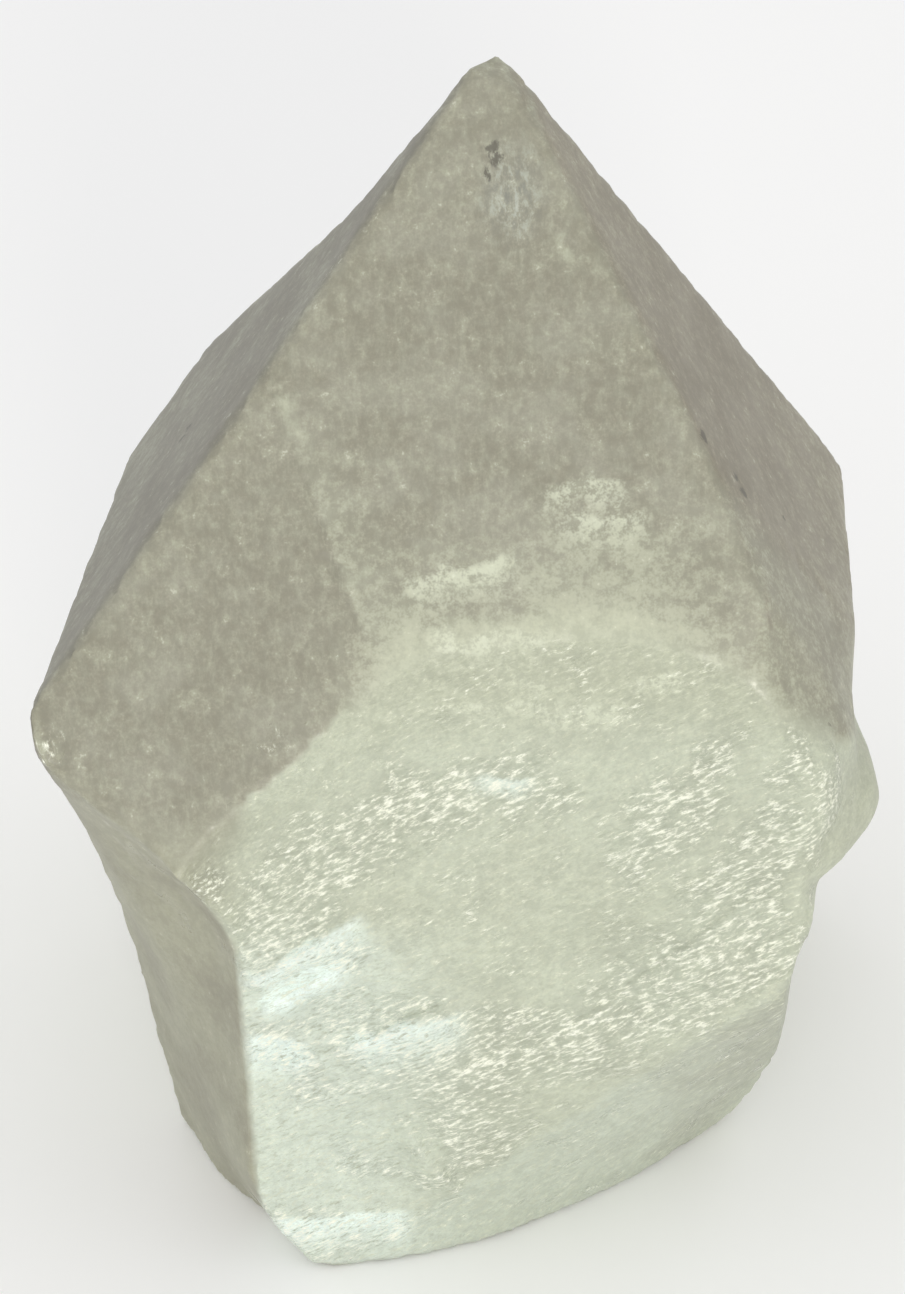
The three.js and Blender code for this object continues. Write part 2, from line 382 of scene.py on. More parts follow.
# %% Veil edges, crease and bruises on the growth faces
VEIL_EDGES = (
    ((-4.8, 67.0), (4.2, 68.4), 3.6),
    ((6.3, 72.9), (13.1, 73.2), 2.4),
    ((7.9, 71.0), (15.1, 71.4), 2.8),
    ((-2.6, 63.2), (3.4, 63.2), 2.6),
    ((3.2, 63.9), (7.0, 63.7), 2.6),
    ((3.8, 60.4), (8.3, 60.5), 2.0),
    ((14.0, 60.3), (18.6, 60.0), 2.2),
    ((-2.4, 58.5), (7.9, 58.2), 2.2),
    ((7.1, 57.1), (14.3, 57.4), 2.2),
)
CREASE = ((-15.1, 78.8), (-9.3, 66.3))
RIGHT_EDGE = ((19.2, -18.8, 75.4), (30.1, -29.1, 55.9))
RIGHT_CREASE = ((19.2, 75.4), (33.0, 55.4))
BRUISES = (
    ((-14.9, -14.9, 79.0), (-12.8, -17.9, 75.0), 1.0),
    ((8.2, -8.2, 88.5), (8.3, -8.8, 87.4), 1.3),
    ((-9.3, -25.0, 66.3), (-7.0, -24.4, 67.2), 0.8),
    ((-24.0, -31.5, 57.9), (-15.5, -29.4, 61.0), 0.6),
    ((-34.2, -31.0, 55.2), (-33.4, -31.2, 54.0), 1.8),
)
KNOB_MIDDLE = (27.2, -23.2, 45.2)
KNOB_CHIPS = (
    {"middle": (33.6, -31.4, 42.4), "reach": 7.5, "step": (-1.5, 0.4, 0.0)},
    {"middle": (34.0, -21.0, 51.5), "reach": 10.0, "step": (-0.55, 0.0, 0.0)},
)
SHARP_CORNERS = ((-35.0, -29.0, 56.8), (35.0, -25.6, 45.2), (-22.9, -38.0, 46.6), (2.7, 3.1, 99.6))
LEFT_CORNER = (-33.6, -31.0, 54.6)
PITTED_PATCH = (4.2, -5.6, 91.2)
print("veil edges:", len(VEIL_EDGES), "bruises:", len(BRUISES))


# %% A group that measures from a line
def new_group(name, kind, inputs, outputs):
    """A node group with named sockets. Hands back the tree, its inputs and its output node."""
    tree = bpy.data.node_groups.new(name, kind)
    for label, socket_type in inputs:
        tree.interface.new_socket(name=label, in_out="INPUT", socket_type=socket_type)
    for label, socket_type in outputs:
        tree.interface.new_socket(name=label, in_out="OUTPUT", socket_type=socket_type)
    return tree, tree.nodes.new("NodeGroupInput").outputs, tree.nodes.new("NodeGroupOutput").inputs


def line_measure():
    """Along and below are in mm from the line's start, and near is the distance to the line."""
    inputs = [(label, "NodeSocketVector") for label in ("Place", "Start", "End")]
    outputs = [(label, "NodeSocketFloat") for label in ("Along", "Below", "Near", "Length")]
    tree, given, result = new_group("measure from a line", "GeometryNodeTree", inputs, outputs)
    run = arrow(tree, "SUBTRACT", given["End"], given["Start"])
    length = arrow(tree, "LENGTH", run)
    forward = arrow(tree, "NORMALIZE", run)
    ahead = parts(tree, forward)
    downward = join(tree, ahead["Z"], 0.0, times(tree, ahead["X"], -1.0))
    reach = arrow(tree, "SUBTRACT", given["Place"], given["Start"])
    along = arrow(tree, "DOT_PRODUCT", reach, forward)
    held = calc(tree, "MINIMUM", calc(tree, "MAXIMUM", along, 0.0), length)
    foot = arrow(tree, "ADD", given["Start"], arrow(tree, "SCALE", forward, scale=held))
    plug(tree, result["Along"], along)
    plug(tree, result["Below"], arrow(tree, "DOT_PRODUCT", reach, downward))
    plug(tree, result["Near"], arrow(tree, "DISTANCE", given["Place"], foot))
    plug(tree, result["Length"], length)
    return tree


LINE_MEASURE = line_measure()
print("line group has", len(LINE_MEASURE.nodes), "nodes")

# %% Masks from lines
LINE_RISE = (-0.25, 0.25)
LINE_ENDS = (-1.0, 1.5)


def from_line(tree, place, start, end):
    """The outputs of a line group that is placed for one line. Two numbers are (across, up)."""
    made = add(tree, "GeometryNodeGroup", node_tree=LINE_MEASURE)
    plug(tree, made.inputs["Place"], place)
    plug(tree, made.inputs["Start"], start if len(start) == 3 else (start[0], 0, start[1]))
    plug(tree, made.inputs["End"], end if len(end) == 3 else (end[0], 0, end[1]))
    return made.outputs


def near_lines(tree, place, lines, ragged):
    """1 on any of the lines, fading to 0 at each line's width."""
    nearest = 0.0
    for start, end, width in lines:
        distance = plus(tree, from_line(tree, place, start, end)["Near"], ragged)
        nearest = calc(tree, "MAXIMUM", nearest, ramp(tree, distance, width, 0.0))
    return nearest


def below_line(tree, place, start, end, reach):
    """1 just under a line, fading downward and soft at both ends."""
    measure = from_line(tree, place, start, end)
    rise = ramp(tree, measure["Below"], *LINE_RISE)
    fall = ramp(tree, measure["Below"], reach, 0.0)
    begin = ramp(tree, measure["Along"], *LINE_ENDS)
    left = calc(tree, "SUBTRACT", measure["Length"], measure["Along"])
    return times(tree, rise, fall, begin, ramp(tree, left, *LINE_ENDS))


print("masks ready")

# %% [markdown]
# ## Marks on the skin
# Where a veil, a glint row or a bruise lies changes slowly over the surface, so it is worked out once
# for each point of the skin and stored as a named attribute. The relief and the material both read the
# same marks, so that a glint row is rippled, glossy and painted bright in the same place, and rendering
# stays quick.
# The table of fades names each stretch over which something begins or ends: where it starts, where it
# ends and, if they are not 0 and 1, the values at both ends.

# %% Noises, with how often they repeat in 1 mm along each axis
NOISES = {
    "ragged": {"scale": (0.3, 0.3, 0.3)},
    "glint patches": {"scale": (0.4, 0.4, 0.4), "detail": 4.0, "roughness": 0.6},
    "clouds": {"scale": (0.14, 0.14, 0.14), "detail": 4.0},
    "veil clouds": {"scale": (0.22, 0.1, 0.42), "detail": 5.0, "roughness": 0.65},
    "back clouds": {"scale": (0.09, 0.09, 0.14), "detail": 4.0, "roughness": 0.6},
    "level bands": {"scale": (0.06, 0.06, 0.55)},
    "shade": {"scale": (0.16, 0.16, 0.2), "detail": 4.0, "roughness": 0.6},
    "bruise patches": {"scale": (0.8, 0.8, 0.5)},
    "break swell": {"scale": (0.14, 0.14, 0.14), "detail": 1.0},
    "side lumps": {"scale": (0.12, 0.12, 0.16), "detail": 5.0, "roughness": 0.6},
    "growth swell": {"scale": (0.11, 0.11, 0.11), "detail": 1.0},
    "edge chips": {"scale": (0.45, 0.45, 0.45), "detail": 3.0},
}
print("noises:", len(NOISES))


# %% Helpers that only Geometry Nodes need
def reading(tree, name):
    made = add(tree, "GeometryNodeInputNamedAttribute", {"Name": name}, data_type="FLOAT")
    return made.outputs["Attribute"]


def blurred(tree, value, rounds):
    made = add(tree, "GeometryNodeBlurAttribute", {0: value, "Iterations": rounds}, data_type="FLOAT")
    return made.outputs[0]


def store(tree, geometry, name, value):
    made = add(tree, "GeometryNodeStoreNamedAttribute", {"Geometry": geometry, "Name": name})
    made.data_type = "FLOAT"
    plug(tree, next(s for s in made.inputs if s.name == "Value" and s.enabled), value)
    return made.outputs[0]


def position_of(tree):
    return tree.nodes.new("GeometryNodeInputPosition").outputs[0]


def in_mm(tree, position):
    return arrow(tree, "SCALE", position, scale=1 / MM)


def flattened(tree, place):
    """The place as seen straight from the front."""
    return arrow(tree, "MULTIPLY", place, (1.0, 0.0, 1.0))


def noise_of(tree, place, name):
    look = dict(NOISES[name])
    return grain(tree, arrow(tree, "MULTIPLY", place, look.pop("scale")), **look)


print("helpers ready")

# %% Fades and shares of the front break
FADES.update({
    "front side": (-14.0, -22.0),
    "scar": (-0.8, 0.8),
    "brow mark": (0.002, 0.02),
    "crisp milk": (0.2, 0.8),
    "soft milk": (0.2, 0.9),
    "left milk across": (-16.5, -19.0),
    "left milk depth": (-24.0, -30.0),
    "left milk height": (-0.5, 8.5),
    "knob milk": (10.5, 6.5),
    "strip": (-0.4, 0.4),
    "behind strip": (-14.0, 4.0, 0.0, 0.4),
    "left corner": (2.6, 0.8),
    "glints": (0.62, 1.02),
    "blue across": (4.0, -12.0),
    "blue height": (41.0, 33.0),
    "clouds": (0.36, 0.64),
})
RAGGED_REACH = 3.0
SCAR_RAGGED = 0.3
ROW_RAGGED = 0.7
BROW_BLUR = 60
CRISP_BLUR = 3
SOFT_BLUR = 80
GLINT_FLOOR = 0.22
GLINT_ROW_SHARE = 0.35
BLUE_NUDGE = (0.4, -0.3)
BLUE_GLOW = 0.5
BLUE_CHIP_SHARE = 0.9
print("fades:", len(FADES))


# %% Marks of the front break
def milk_mark(tree, place):
    """1 where the stone is broken and milky, with a soft border at the brow and at the left."""
    sides = parts(tree, place)
    broken = plus(tree, reading(tree, "front_break"), reading(tree, "side_break"))
    brow = fade(tree, blurred(tree, reading(tree, "soft_brow"), BROW_BLUR), "brow mark")
    crisp = fade(tree, blurred(tree, broken, CRISP_BLUR), "crisp milk")
    milk = mixed(tree, brow, crisp, fade(tree, blurred(tree, broken, SOFT_BLUR), "soft milk"))
    near_left = fade(tree, sides["X"], "left milk across")
    at_left = times(tree, near_left, fade(tree, sides["Y"], "left milk depth"))
    below_left = from_line(tree, flattened(tree, place), *LEFT_FADE_EDGE)["Below"]
    milk = mixed(tree, at_left, milk, fade(tree, below_left, "left milk height"))
    knob = fade(tree, arrow(tree, "DISTANCE", place, KNOB_MIDDLE), "knob milk")
    return calc(tree, "MAXIMUM", milk, knob)


def strip_mark(tree, place):
    """1 on the smooth strip at the left, and a little on the broken sides behind."""
    flat = flattened(tree, place)
    beside_upper = from_line(tree, flat, *STRIP_UPPER_EDGE)["Below"]
    beside_lower = from_line(tree, flat, *STRIP_LOWER_EDGE)["Below"]
    strip = fade(tree, calc(tree, "MINIMUM", beside_upper, beside_lower), "strip")
    behind = fade(tree, parts(tree, place)["Y"], "behind strip")
    return calc(tree, "MAXIMUM", strip, behind)


def blue_mark(tree, place, ragged):
    """A faint glow at the lower left and the bluish chips: a bluish tint and a painted reflection."""
    across, depth, height = parts(tree, place)
    low = fade(tree, height, "blue height")
    blue = times(tree, fade(tree, across, "blue across"), low, BLUE_GLOW)
    nudge = join(tree, times(tree, ragged, BLUE_NUDGE[0]), 0.0, times(tree, ragged, BLUE_NUDGE[1]))
    nudged = arrow(tree, "ADD", flattened(tree, place), nudge)
    for line in BLUE_CHIPS:
        blue = plus(tree, blue, times(tree, below_line(tree, nudged, *line), BLUE_CHIP_SHARE))
    return times(tree, blue, fade(tree, depth, "front side"))


def break_marks(tree, place):
    flat = flattened(tree, place)
    ragged = swing(tree, noise_of(tree, place, "ragged"), RAGGED_REACH)
    front_side = fade(tree, parts(tree, place)["Y"], "front side")
    under = from_line(tree, flat, *SCAR_EDGE)["Below"]
    scar = fade(tree, plus(tree, times(tree, ragged, SCAR_RAGGED), under), "scar")
    rows = near_lines(tree, flat, GLINT_ROWS, times(tree, ragged, ROW_RAGGED))
    rows = times(tree, rows, flip(tree, scar), front_side, GLINT_ROW_SHARE)
    rows = calc(tree, "MULTIPLY_ADD", reading(tree, "front_break"), GLINT_FLOOR, rows)
    glints = fade(tree, plus(tree, rows, noise_of(tree, place, "glint patches")), "glints")
    corner = fade(tree, arrow(tree, "DISTANCE", place, LEFT_CORNER), "left corner")
    return {
        "scar": times(tree, scar, front_side),
        "glints": calc(tree, "MAXIMUM", glints, corner),
        "blue_sheen": blue_mark(tree, place, ragged),
        "clouds": fade(tree, noise_of(tree, place, "clouds"), "clouds"),
        "milk": milk_mark(tree, place),
        "strip": strip_mark(tree, place),
    }


print("marks of the break ready")

# %% Fades and shares of the growth faces
FADES.update({
    "toward front": (-0.45, -0.7),
    "toward right": (0.4, 0.7),
    "toward back": (-0.1, 0.25),
    "veil depth": (0.0, 15.0),
    "veil cloud": (0.60, 0.76),
    "near break": (0.06, 0.5, 0.0, 0.75),
    "veil left": (-14.0, 0.0),
    "veil right": (24.0, 12.0, 0.3, 1.0),
    "right edge": (13.0, 0.0),
    "right veil": (0.0, 1.0, 0.0, 0.3),
    "right crease": (-0.5, 0.7),
    "top veil": (68.0, 92.0, 0.0, 0.22),
    "root line": (0.2, 0.6, 46.0, 52.0),
    "root veil": (20.0, -26.0, 0.0, 0.8),
    "back cloud": (0.4, 0.65, 0.05, 0.5),
    "level bands": (0.5, 0.75, 0.0, 0.12),
    "shade": (0.64, 0.40),
    "left of crease": (-0.2, 0.2),
    "left shade": (10.0, 0.0),
    "left shade height": (79.0, 71.0),
    "right of crease": (0.2, -0.2),
    "crease veil": (-6.0, 0.0),
    "crease veil height": (78.0, 70.0),
    "bruise patches": (0.36, 0.58),
    "pitted": (3.4, 0.4),
})
VEIL_TOP = 74.0
VEIL_SLOPE = 0.15
DEEP_CLOUD = 0.3
CLOUD_SHARE = 0.36
DEEP_SHARE = 0.3
EDGE_SHARE = 0.3
CREASE_VEIL_SHARE = 0.28
BREAK_BLUR = 220
ROOT_RAGGED = 22.0
RAGGED_FLAT = (4.0, 0.0, 3.0)
RAGGED_PATCH = 3.0
PATCH_SHAPE = (1.0, 0.6, 0.6)
print("fades:", len(FADES))


# %% Veils of the growth faces
def front_veil(tree, place, edges):
    """The veil under the front face's level edges, thicker toward the break."""
    sides = parts(tree, place)
    across = sides["X"]
    veil_top = calc(tree, "MULTIPLY_ADD", across, VEIL_SLOPE, VEIL_TOP)
    deep = fade(tree, calc(tree, "SUBTRACT", veil_top, sides["Z"]), "veil depth")
    cloud_noise = noise_of(tree, place, "veil clouds")
    cloud = fade(tree, calc(tree, "MULTIPLY_ADD", deep, DEEP_CLOUD, cloud_noise), "veil cloud")
    near_break = blurred(tree, reading(tree, "front_break"), BREAK_BLUR)
    near_break = fade(tree, near_break, "near break")
    veil = plus(tree, times(tree, cloud, CLOUD_SHARE), times(tree, deep, DEEP_SHARE), near_break)
    veil = plus(tree, veil, times(tree, edges, EDGE_SHARE))
    middle = fade(tree, across, "veil left")
    middle = times(tree, middle, fade(tree, across, "veil right"))
    return times(tree, calc(tree, "MINIMUM", veil, 1.0), middle)


def side_veil(tree, place, ragged_place, facing, front, right, lower):
    """Veils beside the right edge, at the tip, in the root and over the back."""
    height = parts(tree, place)["Z"]
    beside = fade(tree, from_line(tree, ragged_place, *RIGHT_EDGE)["Near"], "right edge")
    right_veil = times(tree, fade(tree, beside, "right veil"), lower, right)
    top_veil = times(tree, fade(tree, height, "top veil"), right)
    root_line = fade(tree, facing["X"], "root line")
    ragged_height = plus(tree, height, swing(tree, noise_of(tree, place, "veil clouds"), ROOT_RAGGED))
    above_root = calc(tree, "SUBTRACT", ragged_height, root_line)
    root_veil = times(tree, fade(tree, above_root, "root veil"), flip(tree, front))
    back_cloud = fade(tree, noise_of(tree, place, "back clouds"), "back cloud")
    back_veil = times(tree, back_cloud, fade(tree, facing["Y"], "toward back"))
    return calc(tree, "MAXIMUM", plus(tree, right_veil, top_veil), plus(tree, root_veil, back_veil))


print("veils ready")


# %% Marks of the growth faces
def by_crease(tree, place, front):
    """The shade at the left of the front crease, and the thin veil at its right."""
    height = parts(tree, place)["Z"]
    crease = from_line(tree, flattened(tree, place), *CREASE)["Below"]
    left = fade(tree, crease, "left of crease")
    left = times(tree, left, fade(tree, crease, "left shade"))
    left = times(tree, left, fade(tree, height, "left shade height"), front)
    beyond = fade(tree, crease, "right of crease")
    beyond = times(tree, beyond, fade(tree, crease, "crease veil"))
    beyond = times(tree, beyond, fade(tree, height, "crease veil height"), front)
    return left, times(tree, beyond, CREASE_VEIL_SHARE)


def face_marks(tree, place):
    facing = parts(tree, tree.nodes.new("GeometryNodeInputNormal").outputs[0])
    front = fade(tree, facing["Y"], "toward front")
    right = fade(tree, facing["X"], "toward right")
    noise = add(tree, "ShaderNodeTexNoise", {"Vector": place, "Scale": 0.4, "Detail": 4.0})
    ragged = arrow(tree, "SUBTRACT", noise.outputs["Color"], (0.5, 0.5, 0.5))
    flat = flattened(tree, place)
    ragged_flat = arrow(tree, "ADD", flat, arrow(tree, "MULTIPLY", ragged, RAGGED_FLAT))
    ragged_place = arrow(tree, "ADD", place, ragged)
    more_ragged = arrow(tree, "ADD", place, arrow(tree, "SCALE", ragged, scale=RAGGED_PATCH))
    from_patch = arrow(tree, "MULTIPLY", arrow(tree, "SUBTRACT", more_ragged, PITTED_PATCH), PATCH_SHAPE)
    edges = 0.0
    for line in VEIL_EDGES:
        edges = plus(tree, edges, below_line(tree, ragged_flat, *line))
    lower = fade(tree, from_line(tree, flat, *RIGHT_CREASE)["Below"], "right crease")
    veil = times(tree, front_veil(tree, place, edges), front)
    veil = calc(tree, "MAXIMUM", veil, side_veil(tree, place, ragged_place, facing, front, right, lower))
    bands = fade(tree, noise_of(tree, place, "level bands"), "level bands")
    dark = fade(tree, noise_of(tree, place, "shade"), "shade")
    left, beyond = by_crease(tree, place, front)
    patchy = fade(tree, noise_of(tree, place, "bruise patches"), "bruise patches")
    return {
        "veil": plus(tree, veil, bands, beyond),
        "veil_edges": edges,
        "shade": calc(tree, "MAXIMUM", dark, left),
        "bruise": times(tree, near_lines(tree, ragged_place, BRUISES, 0.0), patchy),
        "pitted": fade(tree, arrow(tree, "LENGTH", from_patch), "pitted"),
        "low_right": times(tree, lower, right),
    }


print("marks of the faces ready")


# %% Marks tree
def marks_tree():
    sockets = [("Geometry", "NodeSocketGeometry")]
    tree, given, result = new_group("crystal marks", "GeometryNodeTree", sockets, sockets)
    place = in_mm(tree, position_of(tree))
    geometry = given["Geometry"]
    for name, value in {**break_marks(tree, place), **face_marks(tree, place)}.items():
        geometry = store(tree, geometry, name, value)
    plug(tree, result["Geometry"], geometry)
    return tree


MARKS = marks_tree()
print("marks tree has", len(MARKS.nodes), "nodes")

# %% [markdown]
# ## Relief on the skin
# The break's ripples run up to the right and are much longer than they are wide, so the noise that
# lifts them is turned and stretched along that direction. The flat faces get a faint swell, their
# edges are worn, and the broken sides get lumps. One Geometry Nodes tree does all of it, because each
# part only moves points along the normal by a rule, and the marks say which rule holds where. At the
# knob two fixed steps trim what stands out a little too far in the solid.

# %% Settings of the relief, in mm
RELIEF_INPUTS = {
    "Ripple Height": 0.2,
    "Ripple Length": 4.2,
    "Ripple Spacing": 1.3,
    "Ripple Angle": math.radians(28),
    "Break Swell": 0.4,
    "Growth Swell": 0.06,
    "Edge Wear": 0.45,
    "Side Lumps": 1.4,
    "Seed": 4.0,
}
EDGE_ROUNDING = 6
BROW_ROUNDING = 200
FADES.update({
    "ripples": (0.0, 0.8, 0.25, 1.0),
    "front break": (0.5, 0.9),
    "behind lumps": (-20.0, -4.0, 0.1, 1.0),
    "edge chips": (0.42, 0.75),
    "knob relief": (12.0, 7.0),
    "brow relief": (0.002, 0.05),
    "low rounding": (34.0, 50.0, 0.12, 1.0),
    "tip rounding": (97.0, 90.0, 0.3, 1.0),
    "sharp corner": (1.0, 7.0, 0.05, 1.0),
})
RIPPLE_BEND = 0.4
SCAR_CALM = 0.15
BREAK_EDGE_BLUR = 30
SIDE_BLUR = 8
GROWTH_BLUR = 2
WEAR_BLUR = 4
KNOB_CHIP_CORE = 1.0
print("relief settings:", len(RELIEF_INPUTS))


# %% Relief of each part
def soften(tree, geometry, position, rounds, share):
    """Moves points toward the middle of their neighbours, round after round."""
    soft = add(tree, "GeometryNodeBlurAttribute", {"Iterations": rounds, "Weight": share})
    soft.data_type = "FLOAT_VECTOR"
    plug(tree, next(s for s in soft.inputs if s.name == "Value" and s.enabled), position)
    rounded = next(s for s in soft.outputs if s.enabled)
    made = add(tree, "GeometryNodeSetPosition", {"Geometry": geometry, "Position": rounded})
    return made.outputs[0]


def break_lift(tree, place, given):
    """Ripples, ledges and a slow swell over the front break."""
    turned = add(tree, "ShaderNodeVectorRotate", {"Vector": place, "Angle": given["Ripple Angle"]})
    turned.rotation_type = "Y_AXIS"
    across_ripple = calc(tree, "DIVIDE", 1.0, given["Ripple Spacing"])
    along_ripple = calc(tree, "DIVIDE", 1.0, given["Ripple Length"])
    stretch = join(tree, along_ripple, across_ripple, across_ripple)
    ripple_place = arrow(tree, "MULTIPLY", turned.outputs[0], stretch)
    ripples = swing(tree, grain(tree, ripple_place, distortion=RIPPLE_BEND))
    strength = fade(tree, reading(tree, "glints"), "ripples")
    strength = calc(tree, "SUBTRACT", strength, times(tree, reading(tree, "scar"), SCAR_CALM))
    lift = times(tree, ripples, given["Ripple Height"], strength)
    swell = swing(tree, noise_of(tree, place, "break swell"))
    lift = plus(tree, lift, times(tree, swell, given["Break Swell"]))
    flat = flattened(tree, place)
    for start, end, reach, rise in LEDGES:
        lift = calc(tree, "MULTIPLY_ADD", below_line(tree, flat, start, end, reach), rise, lift)
    on_break = blurred(tree, reading(tree, "front_break"), BREAK_EDGE_BLUR)
    return times(tree, lift, fade(tree, on_break, "front break"))


def other_lift(tree, place, given):
    """Lumps on the broken sides and a faint swell on the growth faces, less the wear of the edges."""
    on_side = blurred(tree, reading(tree, "side_break"), SIDE_BLUR)
    on_growth = blurred(tree, reading(tree, "growth_face"), GROWTH_BLUR)
    on_edge_line = blurred(tree, reading(tree, "crystal_edge"), WEAR_BLUR)
    lumps = swing(tree, noise_of(tree, place, "side lumps"))
    behind = fade(tree, parts(tree, place)["Y"], "behind lumps")
    side = times(tree, lumps, given["Side Lumps"], behind, on_side)
    swell = swing(tree, noise_of(tree, place, "growth swell"))
    growth = times(tree, swell, given["Growth Swell"], on_growth)
    chips = fade(tree, noise_of(tree, place, "edge chips"), "edge chips")
    wear = times(tree, chips, given["Edge Wear"], on_edge_line)
    return calc(tree, "SUBTRACT", plus(tree, side, growth), wear)


print("lifts ready")


# %% Relief tree
def relief_tree():
    inputs = [("Geometry", "NodeSocketGeometry")]
    inputs += [(label, "NodeSocketFloat") for label in RELIEF_INPUTS]
    inputs += [(label, "NodeSocketVector") for label in ("Box Low", "Box High")]
    inputs += [(label, "NodeSocketInt") for label in ("Edge Rounding", "Brow Rounding")]
    inputs += [("Material", "NodeSocketMaterial")]
    outputs = [("Geometry", "NodeSocketGeometry")]
    tree, given, result = new_group("crystal relief", "GeometryNodeTree", inputs, outputs)
    position = position_of(tree)
    place = in_mm(tree, position)

    knob = fade(tree, arrow(tree, "DISTANCE", place, KNOB_MIDDLE), "knob relief")
    brow = fade(tree, blurred(tree, reading(tree, "soft_brow"), BROW_BLUR), "brow relief")
    height = parts(tree, place)["Z"]
    rounding = fade(tree, height, "low rounding")
    rounding = times(tree, rounding, fade(tree, height, "tip rounding"))
    for corner in SHARP_CORNERS:
        off_corner = arrow(tree, "DISTANCE", place, corner)
        rounding = times(tree, rounding, fade(tree, off_corner, "sharp corner"))
    geometry = soften(tree, given["Geometry"], position, given["Brow Rounding"], brow)
    geometry = soften(tree, geometry, position, given["Edge Rounding"], rounding)

    seeded = arrow(tree, "ADD", place, join(tree, 0.0, given["Seed"], 0.0))
    lift = plus(tree, break_lift(tree, seeded, given), other_lift(tree, seeded, given))
    lift = times(tree, lift, flip(tree, calc(tree, "MAXIMUM", brow, knob)))
    normal = tree.nodes.new("GeometryNodeInputNormal").outputs[0]
    step = arrow(tree, "SCALE", normal, scale=times(tree, lift, MM))
    for chip in KNOB_CHIPS:
        from_chip = arrow(tree, "DISTANCE", place, chip["middle"])
        chipped = times(tree, ramp(tree, from_chip, chip["reach"], KNOB_CHIP_CORE), MM)
        step = arrow(tree, "ADD", step, arrow(tree, "SCALE", chip["step"], scale=chipped))
    raised = arrow(tree, "ADD", position, step)
    moved = add(tree, "GeometryNodeSetPosition", {"Geometry": geometry, "Position": raised})
    box = add(tree, "GeometryNodeBoundBox", {"Geometry": moved.outputs[0]}).outputs
    span = arrow(tree, "SUBTRACT", box["Max"], box["Min"])
    in_box = arrow(tree, "DIVIDE", arrow(tree, "SUBTRACT", position, box["Min"]), span)
    wanted = arrow(tree, "SUBTRACT", given["Box High"], given["Box Low"])
    fitted = arrow(tree, "ADD", given["Box Low"], arrow(tree, "MULTIPLY", in_box, wanted))
    filled = add(tree, "GeometryNodeSetPosition", {"Geometry": moved.outputs[0], "Position": fitted})
    real = add(tree, "GeometryNodeRealizeInstances", {0: filled.outputs[0]})
    dressed = add(tree, "GeometryNodeSetMaterial", {"Geometry": real.outputs[0]})
    plug(tree, dressed.inputs["Material"], given["Material"])
    plug(tree, result["Geometry"], dressed.outputs[0])
    return tree


RELIEF = relief_tree()
print("relief tree has", len(RELIEF.nodes), "nodes")

# %% [markdown]
# ## Milky quartz
# Milky quartz is clear quartz full of tiny fluid-filled hollows. Light goes a little way in and comes
# back out, so the Principled shader gets some subsurface scattering and quartz's index of refraction.
# The colour is mixed by the marks: grey and clearer to the tip, milky white in the root, with veils
# between. Light and shade are painted into it too: shade on the faces turned left and right, on the
# knob's right facet and in the break's crinkle hollows, and glints, sparkles, crinkle crests and a bluish
# sheen painted bright. One stretched noise makes the short streaks of the faces and the crinkles of the
# break, because only its coordinates differ between them. A second, even noise mottles the veils and the
# painted sparkles.

# %% Colours, linear
CLEAR_QUARTZ = (0.295, 0.287, 0.226, 1)
CLEAR_DARK = (0.252, 0.241, 0.184, 1)
VEIL_WHITE = (0.450, 0.465, 0.356, 1)
# Painted highlight on the crests of the break's crinkles.
CRINKLE_HIGHLIGHT = (0.530, 0.550, 0.430, 1)
PLATE_WHITE = (0.600, 0.628, 0.500, 1)
BROW_VEIL = (0.402, 0.420, 0.318, 1)
MILKY_QUARTZ = (0.475, 0.508, 0.405, 1)
STRIP_GREY = (0.330, 0.328, 0.248, 1)
SCAR_GREY = (0.478, 0.522, 0.440, 1)
# Grey of the break's clouds, and the painted shade in its crinkle hollows.
CLOUD_AND_SHADE_GREY = (0.400, 0.420, 0.330, 1)
# Bluish tint of the break's chips and glow, with a painted reflection of cool light.
BLUE_SHEEN_WHITE = (0.760, 0.865, 0.815, 1)
# Near-white of the painted glints and sparkles.
GLINT_WHITE = (0.900, 0.910, 0.790, 1)
TIP_BLUE = (0.430, 0.455, 0.400, 1)
TIP_DARK = (0.190, 0.196, 0.172, 1)
# Painted shade on the knob's facet turned to the right.
KNOB_SHADE_GREY = (0.375, 0.392, 0.296, 1)
SCAR_DARK = (0.355, 0.372, 0.302, 1)
SPECK_BROWN = (0.090, 0.083, 0.065, 1)
# Darker, tinted faces turned left and right: painted shade with a mauve and a pink hue.
LEFT_SIDE_SHADE = (0.68, 0.666, 0.67, 1)
RIGHT_SIDE_SHADE = (0.840, 0.785, 0.760, 1)
QUARTZ_IOR = 1.544

milky_quartz = bpy.data.materials.new("milky_quartz")
milky_quartz.use_nodes = True
paint = milky_quartz.node_tree
paint.nodes.clear()
object_place = paint.nodes.new("ShaderNodeTexCoord").outputs["Object"]
place = arrow(paint, "SCALE", object_place, scale=1 / MM)
across, depth, height = parts(paint, place)
facing = parts(paint, paint.nodes.new("ShaderNodeNewGeometry").outputs["Normal"])
print("colours set for", milky_quartz.name)


# %% Mixing and reading helpers
def blend(factor, first, second, way="MIX"):
    made = add(paint, "ShaderNodeMix", data_type="RGBA", blend_type=way)
    plug(paint, made.inputs["Factor"], factor)
    plug(paint, next(s for s in made.inputs if s.name == "A" and s.type == "RGBA"), first)
    plug(paint, next(s for s in made.inputs if s.name == "B" and s.type == "RGBA"), second)
    return next(s for s in made.outputs if s.type == "RGBA")


MARK_NAMES = ("milk", "strip", "scar", "glints", "blue_sheen", "clouds",
              "veil", "veil_edges", "shade", "bruise", "pitted", "low_right", "striped", "sidewards")
marks = {}
for name in MARK_NAMES:
    marks[name] = add(paint, "ShaderNodeAttribute", attribute_name=name).outputs["Fac"]
print("material reads", len(marks), "marks")

